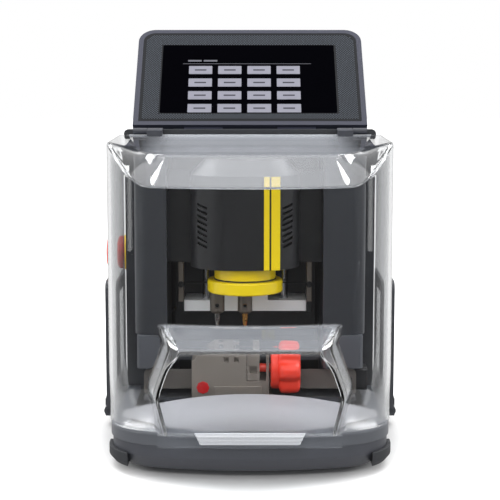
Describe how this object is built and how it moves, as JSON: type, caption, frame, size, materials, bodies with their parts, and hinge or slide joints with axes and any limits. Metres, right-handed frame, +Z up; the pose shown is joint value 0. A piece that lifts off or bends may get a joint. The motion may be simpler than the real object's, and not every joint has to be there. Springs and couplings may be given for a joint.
{
  "type": "key duplicating machine",
  "caption": "Bench-top key cutting machine with a clear lift-up cover, vertical spindle and probe, key clamp on a cross slide, tilting touch screen and fold-out side handles.",
  "frame": {"origin": "centre of the footprint at the underside of the rubber feet", "axes": "+Z up, front of the machine faces -Y, +X to the right as seen from the front"},
  "size_m": [0.28, 0.344, 0.3812],
  "materials": {
    "tub": "fine satin dark grey",
    "rim": "satin grey",
    "bumper": "matt dark grey",
    "foot": "matt black",
    "cowl": "light satin silver",
    "clear": "clear moulded plastic",
    "hinge": "satin",
    "charcoal": "satin charcoal",
    "plinth": "satin grey",
    "panel": "satin dark grey",
    "bed": "machined",
    "casting": "cast, painted grey",
    "hood": "satin black",
    "rod": "ground bright",
    "screw": "rolled thread",
    "motor": "black with bright ends",
    "white_bar": "white satin",
    "strap": "brown-grey",
    "black_small": "blackened",
    "drum": "satin yellow",
    "ring": "satin yellow",
    "clamp": "brown-grey machined",
    "tip": "ground",
    "gold": "coated gold",
    "red": "gloss red",
    "badge": "gloss dark red",
    "yellow": "gloss yellow",
    "screen_case": "satin slate",
    "bezel": "dotted dark grey",
    "display": "glossy black",
    "black_plastic": "satin black",
    "handle": "satin dark grey",
    "pivot": "satin dark grey"
  },
  "bodies": {
    "base": {"axis_motors": "motor", "base_pan": "tub", "base_rim": "rim", "column_frame": "casting", "column_plinth": "plinth", "corner_bumpers": "bumper", "cover_hinge_brackets": "hinge", "estop_collar": "yellow", "front_cowl": "cowl", "handle_blocks": "pivot", "head_shell": "charcoal", "machine_bed": "bed", "power_inlet": "black_plastic", "rear_housing": "charcoal", "rear_panel": "panel", "rubber_feet": "foot", "screen_hinge_bracket": "hinge", "spindle_hood": "hood", "strap_feet": "black_small", "strap_screws": "black_small", "switch_frame": "black_plastic", "top_deck": "charcoal", "y_end_bars": "bed", "y_rods": "rod", "z_foot_bar": "white_bar", "z_rods": "rod", "z_straps": "strap", "z_top_plate": "bed"},
    "cover": {"cover_shell": "clear", "cover_hinge_leaves": "hinge"},
    "screen": {"screen_shell": "screen_case", "screen_bezel": "bezel", "screen_glass": "display"},
    "head": {"head_carriage": "casting", "spindle_housing": "drum", "light_ring": "ring", "probe_chuck": "clamp", "probe_tip": "tip", "spindle_motor": "motor"},
    "spindle": {"spindle_shaft": "screw", "cutter_chuck": "clamp", "cutter": "gold"},
    "z_screw": {"z_screw": "screw"},
    "y_screw": {"y_screw": "screw"},
    "x_screw": {"x_screw": "screw"},
    "saddle": {"y_saddle": "bed", "x_end_blocks": "bed", "x_guard": "clamp", "x_rods": "rod", "x_motor": "motor"},
    "carriage": {"x_carriage": "clamp", "clamp_body": "clamp", "clamp_badge": "badge"},
    "jaw": {"clamp_jaw": "clamp"},
    "knob": {"clamp_knob": "red"},
    "estop": {"estop_button": "red"},
    "rocker": {"power_rocker": "black_plastic"},
    "handle_left": {"handle_left": "handle"},
    "handle_right": {"handle_right": "handle"}
  },
  "joints": [
    {"name": "cover_hinge", "type": "hinge", "parent": "base", "child": "cover", "pos_m": [0, 0.0215, 0.284], "axis": [-1, 0, 0], "range_deg": [0, 80]},
    {"name": "screen_tilt", "type": "hinge", "parent": "base", "child": "screen", "pos_m": [0, 0.04, 0.281], "axis": [1, 0, 0], "range_deg": [-38, 30]},
    {"name": "head_slide", "type": "slide", "parent": "base", "child": "head", "axis": [0, 0, 1], "range_m": [-0.008, 0.008]},
    {"name": "spindle_spin", "type": "hinge", "parent": "head", "child": "spindle", "pos_m": [-0.0045, -0.05, 0.13], "axis": [0, 0, 1], "continuous": true},
    {"name": "z_screw_turn", "type": "hinge", "parent": "base", "child": "z_screw", "pos_m": [-0.0045, 0, 0.17], "axis": [0, 0, 1], "range_deg": [-360, 360]},
    {"name": "y_slide", "type": "slide", "parent": "base", "child": "saddle", "axis": [0, 1, 0], "range_m": [-0.013, 0.013]},
    {"name": "y_screw_turn", "type": "hinge", "parent": "base", "child": "y_screw", "pos_m": [0, -0.03, 0.033], "axis": [0, 1, 0], "range_deg": [-585, 585]},
    {"name": "x_slide", "type": "slide", "parent": "saddle", "child": "carriage", "axis": [1, 0, 0], "range_m": [-0.018, 0.018]},
    {"name": "x_screw_turn", "type": "hinge", "parent": "saddle", "child": "x_screw", "pos_m": [0, -0.023, 0.0585], "axis": [1, 0, 0], "range_deg": [-810, 810]},
    {"name": "knob_turn", "type": "hinge", "parent": "carriage", "child": "knob", "pos_m": [0.03, -0.064, 0.076], "axis": [1, 0, 0], "range_deg": [0, 600]},
    {"name": "jaw_slide", "type": "slide", "parent": "carriage", "child": "jaw", "axis": [1, 0, 0], "range_m": [0, 0.005]},
    {"name": "estop_press", "type": "slide", "parent": "base", "child": "estop", "axis": [1, 0, 0], "range_m": [0, 0.0035], "stiffness_N_per_m": 1500},
    {"name": "rocker_tilt", "type": "hinge", "parent": "base", "child": "rocker", "pos_m": [-0.01, 0.165, 0.078], "axis": [1, 0, 0], "range_deg": [-7, 7]},
    {"name": "left_handle_fold", "type": "hinge", "parent": "base", "child": "handle_left", "pos_m": [-0.135, 0.062, 0.017], "axis": [0, -1, 0], "range_deg": [0, 90]},
    {"name": "right_handle_fold", "type": "hinge", "parent": "base", "child": "handle_right", "pos_m": [0.135, 0.062, 0.017], "axis": [0, 1, 0], "range_deg": [0, 90]}
  ],
  "couplings": [
    {"joint": "z_screw_turn", "follows": "head_slide", "rad_per_m": 785.4},
    {"joint": "y_screw_turn", "follows": "y_slide", "rad_per_m": 785.4},
    {"joint": "x_screw_turn", "follows": "x_slide", "rad_per_m": 785.4},
    {"joint": "knob_turn", "follows": "jaw_slide", "rad_per_m": 2094.4}
  ]
}
